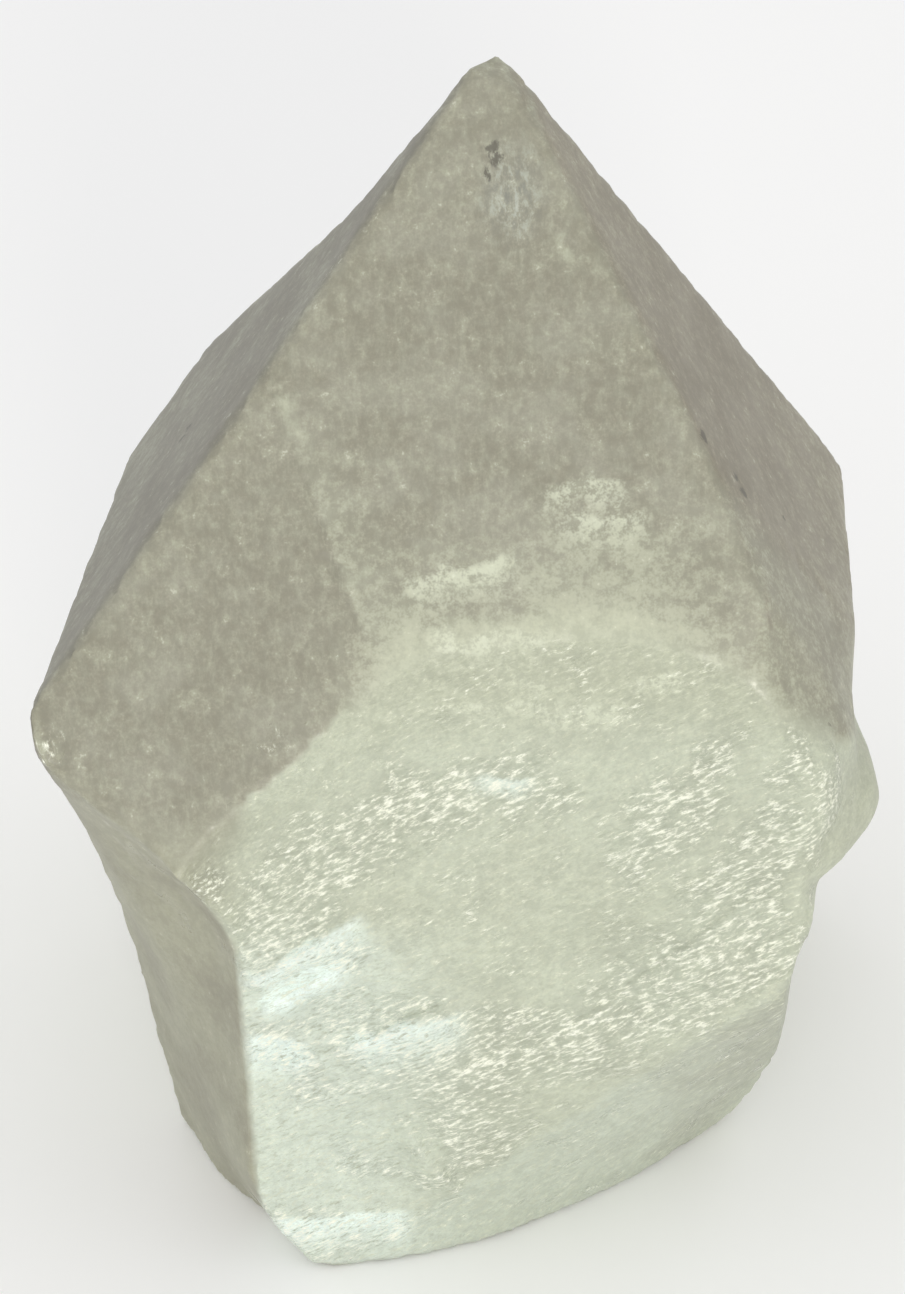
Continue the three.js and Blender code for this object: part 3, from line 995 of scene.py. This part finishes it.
# %% Fades and shares of the paint
FADES.update({
    "left side shade": (-0.6, -0.79),
    "right side shade": (0.6, 0.8),
    "streak width": (0.0, 1.0, 1.25, 0.15),
    "streak length": (0.0, 1.0, 0.8, 1.3),
    "off border": (0.1, 0.9),
    "knob paint": (13.0, 6.0),
    "knob side": (0.1, 0.6),
    "calm": (0.0, 1.0, 1.0, 0.4),
    "streaks": (0.40, 0.70, 0.0, 0.31),
    "front streaks": (0.0, 1.0, 0.35, 1.0),
    "sharp veil": (0.1, 0.8),
    "pits": (0.52, 0.38, 0.0, 0.7),
    "pit rims": (0.48, 0.62, 0.1, 0.8),
    "bruise": (0.3, 0.6, 0.3, 0.8),
    "above root": (30.0, 58.0),
    "low right": (0.0, 1.0, 1.0, 0.25),
    "brow paint": (53.0, 61.0, 0.0, 0.8),
    "scar end": (14.0, 29.0),
    "left paint across": (-16.5, -22.0),
    "left paint height": (36.0, 45.0),
    "blue chips": (0.3, 0.6, 0.3, 1.0),
    "hollows": (0.48, 0.30),
    "deep hollows": (0.0, 1.0, 0.5, 0.85),
    "light crinkles": (0.45, 0.66, 0.0, 0.78),
    "plates": (0.4, 0.58, 0.1, 0.62),
    "mottle": (0.37, 0.63, 0.93, 1.07),
    "painted_glints": (0.65, 0.84),
    "small flecks": (0.64, 0.74, 0.0, 0.22),
    "crinkle height": (0.0, 1.0, 0.1, 0.24),
    "gloss": (0.0, 0.8, 0.52, 0.2),
})
SOFT_VEIL_SHARE = 0.7
SHARP_VEIL_SHARE = 0.3
VEIL_RAGGED = 1.5
CLOUD_GREY = 0.4
STRIP_CLOUD = 0.6
SCAR_SHARE = 0.8
SCAR_END_RAGGED = 5.0
LEFT_FADE_SHARE = 0.85
# Shares that raise the painted glints in the glint rows and over the milky break.
GLINT_GRAIN = 0.15
MILK_GLINT_GRAIN = 0.03
STREAK_HEIGHT = 0.02


def faded(value, name):
    return fade(paint, value, name)


front_facing = fade(paint, facing["Y"], "toward front")
left_facing = faded(facing["X"], "left side shade")
right_facing = faded(facing["X"], "right side shade")
print("fades:", len(FADES))

# %% Fine grain: upright streaks on the faces, slanting crinkles on the break
CRINKLE_ANGLE = math.radians(28)
CRINKLE_STRETCH = (0.9, 3.2, 3.2)
MOTTLE_SCALE = 0.8

sideways = calc(paint, "MULTIPLY_ADD", depth, marks["sidewards"], across)
streak_across = times(paint, sideways, faded(marks["striped"], "streak width"))
streak_up = times(paint, height, faded(marks["striped"], "streak length"))
streak_place = join(paint, streak_across, 0.0, streak_up)
turned = add(paint, "ShaderNodeVectorRotate", {"Vector": place, "Angle": CRINKLE_ANGLE})
turned.rotation_type = "Y_AXIS"
crinkle_place = arrow(paint, "MULTIPLY", turned.outputs[0], CRINKLE_STRETCH)
to_crinkles = arrow(paint, "SUBTRACT", crinkle_place, streak_place)
to_crinkles = arrow(paint, "SCALE", to_crinkles, scale=calc(paint, "GREATER_THAN", marks["milk"], 0.5))
streaky = grain(paint, arrow(paint, "ADD", streak_place, to_crinkles), detail=5.0, roughness=0.72)
off_border = faded(calc(paint, "ABSOLUTE", swing(paint, marks["milk"])), "off border")
knob_near = faded(arrow(paint, "DISTANCE", place, KNOB_MIDDLE), "knob paint")
# The knob's facet turned right, which gets painted shade and a calm grain.
knob_shaded_side = times(paint, knob_near, faded(facing["X"], "knob side"))
smooth = calc(paint, "MAXIMUM", knob_shaded_side, times(paint, marks["strip"], marks["milk"]))
ups_and_downs = times(paint, swing(paint, streaky, 0.5), off_border, faded(smooth, "calm"))
fine_grain = plus(paint, ups_and_downs, 0.5)
mottle = grain(paint, arrow(paint, "SCALE", place, scale=MOTTLE_SCALE), detail=3.0, roughness=0.9)
print("grain and mottle ready")

# %% Growth faces
clear = blend(marks["shade"], CLEAR_QUARTZ, CLEAR_DARK)
streaks = times(paint, faded(fine_grain, "streaks"), faded(front_facing, "front streaks"))
clear = blend(streaks, clear, VEIL_WHITE)
sharp_veil = faded(plus(paint, marks["veil"], swing(paint, mottle, VEIL_RAGGED)), "sharp veil")
soft_veil = times(paint, marks["veil"], SOFT_VEIL_SHARE)
upper = blend(plus(paint, soft_veil, times(paint, sharp_veil, SHARP_VEIL_SHARE)), clear, VEIL_WHITE)
upper = blend(times(paint, marks["pitted"], faded(fine_grain, "pits")), upper, TIP_DARK)
upper = blend(times(paint, marks["pitted"], faded(fine_grain, "pit rims")), upper, TIP_BLUE)
upper = blend(times(paint, marks["bruise"], faded(fine_grain, "bruise")), upper, VEIL_WHITE)
above_root = faded(height, "above root")
# Faces turned left and right are darkened and tinted above the root: painted shade.
upper = blend(times(paint, left_facing, above_root), upper, blend(1.0, upper, LEFT_SIDE_SHADE, "MULTIPLY"))
right_side_shade_share = times(paint, right_facing, above_root, faded(marks["low_right"], "low right"))
upper = blend(right_side_shade_share, upper, blend(1.0, upper, RIGHT_SIDE_SHADE, "MULTIPLY"))
print("growth faces painted")

# %% Milky break
milky = blend(times(paint, marks["clouds"], CLOUD_GREY), MILKY_QUARTZ, CLOUD_AND_SHADE_GREY)
milky = blend(faded(height, "brow paint"), milky, BROW_VEIL)
milky = blend(times(paint, marks["scar"], SCAR_SHARE), milky, SCAR_GREY)
scar_end = faded(plus(paint, across, times(paint, marks["clouds"], SCAR_END_RAGGED)), "scar end")
milky = blend(times(paint, marks["scar"], scar_end), milky, SCAR_DARK)
# Painted shade on the knob's facet turned right.
milky = blend(knob_shaded_side, milky, KNOB_SHADE_GREY)
left_fade = times(paint, faded(across, "left paint across"), faded(height, "left paint height"))
milky = blend(times(paint, left_fade, LEFT_FADE_SHARE), milky, STRIP_GREY)
# Bluish chips and glow: a bluish tint with a painted reflection of cool light.
chips = times(paint, marks["blue_sheen"], faded(fine_grain, "blue chips"))
milky = blend(calc(paint, "MINIMUM", chips, 1.0), milky, BLUE_SHEEN_WHITE)
# Painted light and shade on the crinkles: darker in their hollows, paler on their crests.
hollows = times(paint, faded(fine_grain, "hollows"), faded(marks["glints"], "deep hollows"))
milky = blend(hollows, milky, CLOUD_AND_SHADE_GREY)
milky = blend(faded(fine_grain, "light crinkles"), milky, CRINKLE_HIGHLIGHT)
strip = blend(times(paint, marks["clouds"], STRIP_CLOUD), STRIP_GREY, CLEAR_DARK)
broken = blend(marks["strip"], milky, strip)
print("break painted")

# %% All parts together, with painted glints and sparkles, and dark specks
SPECKS = (
    ((2.4, -3.3, 94.4), 0.75), ((2.8, -3.8, 93.8), 0.7), ((2.0, -4.6, 92.7), 0.5),
    ((-23.1, -3.0, 67.7), 0.7), ((-23.7, -4.0, 67.1), 0.6), ((19.5, -17.1, 75.6), 0.6),
    ((22.3, -16.7, 71.4), 0.55), ((22.8, -17.5, 70.5), 0.65), ((26.8, -12.6, 64.6), 0.5),
    ((30.0, -29.5, 56.0), 0.45),
)
SPECK_RAGGED = 1.2
SPECK_CORE = 0.5
SPECK_SHARE = 0.75

colour = blend(marks["milk"], upper, broken)
edge_light = times(paint, marks["veil_edges"], front_facing, faded(mottle, "plates"))
colour = blend(edge_light, colour, PLATE_WHITE)
# Painted glints and sparkles: near-white where the grain is high, more in the glint rows and on the break.
glint_raised_grain = calc(paint, "MULTIPLY_ADD", marks["glints"], GLINT_GRAIN, fine_grain)
glint_raised_grain = calc(paint, "MULTIPLY_ADD", marks["milk"], MILK_GLINT_GRAIN, glint_raised_grain)
colour = blend(1.0, colour, faded(mottle, "mottle"), "MULTIPLY")
painted_glints = plus(paint, faded(glint_raised_grain, "painted_glints"), faded(mottle, "small flecks"))
colour = blend(calc(paint, "MINIMUM", painted_glints, 1.0), colour, GLINT_WHITE)
speck_edge = swing(paint, fine_grain, SPECK_RAGGED)
for middle, radius in SPECKS:
    distance = plus(paint, arrow(paint, "DISTANCE", place, middle), speck_edge)
    colour = blend(ramp(paint, distance, radius, SPECK_CORE * radius, 0.0, SPECK_SHARE), colour, SPECK_BROWN)
print("specks:", len(SPECKS))

# %% Gloss and small ripples
crinkle_share = times(paint, marks["milk"], faded(marks["glints"], "crinkle height"))
streak_share = times(paint, flip(paint, marks["milk"]), STREAK_HEIGHT)
fine_height = times(paint, ups_and_downs, plus(paint, crinkle_share, streak_share))
bump = add(paint, "ShaderNodeBump", {"Height": fine_height, "Distance": MM, "Strength": 1.0})
gloss = faded(marks["glints"], "gloss")
print("roughness from", FADES["gloss"][2], "to", FADES["gloss"][3])

# %% The shader
SUBSURFACE_SHARE = 0.35
SUBSURFACE_RADIUS = (1.0, 1.0, 0.85)
SUBSURFACE_REACH = 4 * MM

shader = add(paint, "ShaderNodeBsdfPrincipled")
plug(paint, shader.inputs["Base Color"], colour)
plug(paint, shader.inputs["Roughness"], gloss)
plug(paint, shader.inputs["Normal"], bump.outputs[0])
shader.inputs["IOR"].default_value = QUARTZ_IOR
shader.inputs["Subsurface Weight"].default_value = SUBSURFACE_SHARE
shader.inputs["Subsurface Radius"].default_value = SUBSURFACE_RADIUS
shader.inputs["Subsurface Scale"].default_value = SUBSURFACE_REACH
shader.inputs["Transmission Weight"].default_value = 0.0
output = paint.nodes.new("ShaderNodeOutputMaterial")
plug(paint, output.inputs["Surface"], shader.outputs[0])
print("milky quartz has", len(paint.nodes), "nodes")

# %% [markdown]
# ## Putting the skin through the tree
# The modifier's inputs are set by their socket's identifier, then the evaluated result is made a plain
# mesh. The finished piece sits at the origin, rides on the only body and stands for the solid.

# %% Crystal
rough_crystal = bpy.data.objects.new("rough_crystal", skin_mesh)
scene.collection.objects.link(rough_crystal)
marking = rough_crystal.modifiers.new("marks", "NODES")
marking.node_group = MARKS
relief = rough_crystal.modifiers.new("relief", "NODES")
relief.node_group = RELIEF
settings = dict(RELIEF_INPUTS)
settings["Box Low"] = tuple(cad_low)
settings["Box High"] = tuple(cad_high)
settings["Edge Rounding"] = EDGE_ROUNDING
settings["Brow Rounding"] = BROW_ROUNDING
settings["Material"] = milky_quartz
for item in RELIEF.interface.items_tree:
    if item.in_out == "INPUT" and item.name in settings:
        relief[item.identifier] = settings[item.name]
evaluated = rough_crystal.evaluated_get(bpy.context.evaluated_depsgraph_get())
crystal_mesh = bpy.data.meshes.new_from_object(evaluated)
bpy.data.objects.remove(rough_crystal)

crystal = bpy.data.objects.new("milky_quartz_crystal", crystal_mesh)
scene.collection.objects.link(crystal)
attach(crystal, "root")
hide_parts("quartz_crystal")
triangles = sum(len(polygon.vertices) - 2 for polygon in crystal_mesh.polygons)
print("crystal's triangles:", triangles)

# %% [markdown]
# ## Floor and light
# A plain white floor and an even, soft room light suit a pale crystal. One smaller lamp low in front
# gives the glints: a facet of the upright break that leans back by about 23 degrees mirrors a lamp at
# that height straight into the camera, while the leaning upper faces mirror the room above it. A weak,
# wider lamp at the left is a little bluish, like a window.

# %% Floor
FLOOR_HALF = 3.0
FLOOR_WHITE = (0.95, 0.95, 0.95, 1)
FLOOR_ROUGHNESS = 0.9

floor_mesh = bpy.data.meshes.new("floor")
corners = [(-1, -1), (1, -1), (1, 1), (-1, 1)]
floor_mesh.from_pydata([(x * FLOOR_HALF, y * FLOOR_HALF, 0) for x, y in corners], [], [(0, 1, 2, 3)])
floor = bpy.data.objects.new("floor", floor_mesh)
scene.collection.objects.link(floor)
floor_paint = bpy.data.materials.new("white_floor")
floor_paint.use_nodes = True
floor_shader = floor_paint.node_tree.nodes["Principled BSDF"]
floor_shader.inputs["Base Color"].default_value = FLOOR_WHITE
floor_shader.inputs["Roughness"].default_value = FLOOR_ROUGHNESS
floor_mesh.materials.append(floor_paint)
floor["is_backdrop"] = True
print("floor is", 2 * FLOOR_HALF, "m wide")

# %% Lamps and room light
ROOM_LIGHT = 0.9
LAMP_AIM = Vector((0, 0, 0.04))

room = bpy.data.worlds.new("room")
room.use_nodes = True
room.node_tree.nodes["Background"].inputs["Color"].default_value = (1, 1, 1, 1)
room.node_tree.nodes["Background"].inputs["Strength"].default_value = ROOM_LIGHT
scene.world = room
scene.view_settings.view_transform = "Standard"


def lamp(name, azimuth, rise, distance, width, brightness, colour):
    """A square lamp that faces the crystal's middle. Brightness is its radiance."""
    light = bpy.data.lights.new(name, "AREA")
    light.size = width
    light.energy = brightness * math.pi * width**2
    light.color = colour
    holder = bpy.data.objects.new(name, light)
    scene.collection.objects.link(holder)
    level = math.cos(math.radians(rise))
    turn = math.radians(azimuth)
    away = Vector((level * math.sin(turn), -level * math.cos(turn), math.sin(math.radians(rise))))
    holder.location = LAMP_AIM + away * distance
    holder.rotation_euler = (-away).to_track_quat("-Z", "Y").to_euler()


lamp("front lamp", azimuth=8, rise=14, distance=1.2, width=0.22, brightness=30.0, colour=(1.0, 0.97, 0.88))
lamp("left window", azimuth=-30, rise=12, distance=1.5, width=0.4, brightness=2.0, colour=(0.86, 0.93, 1.0))
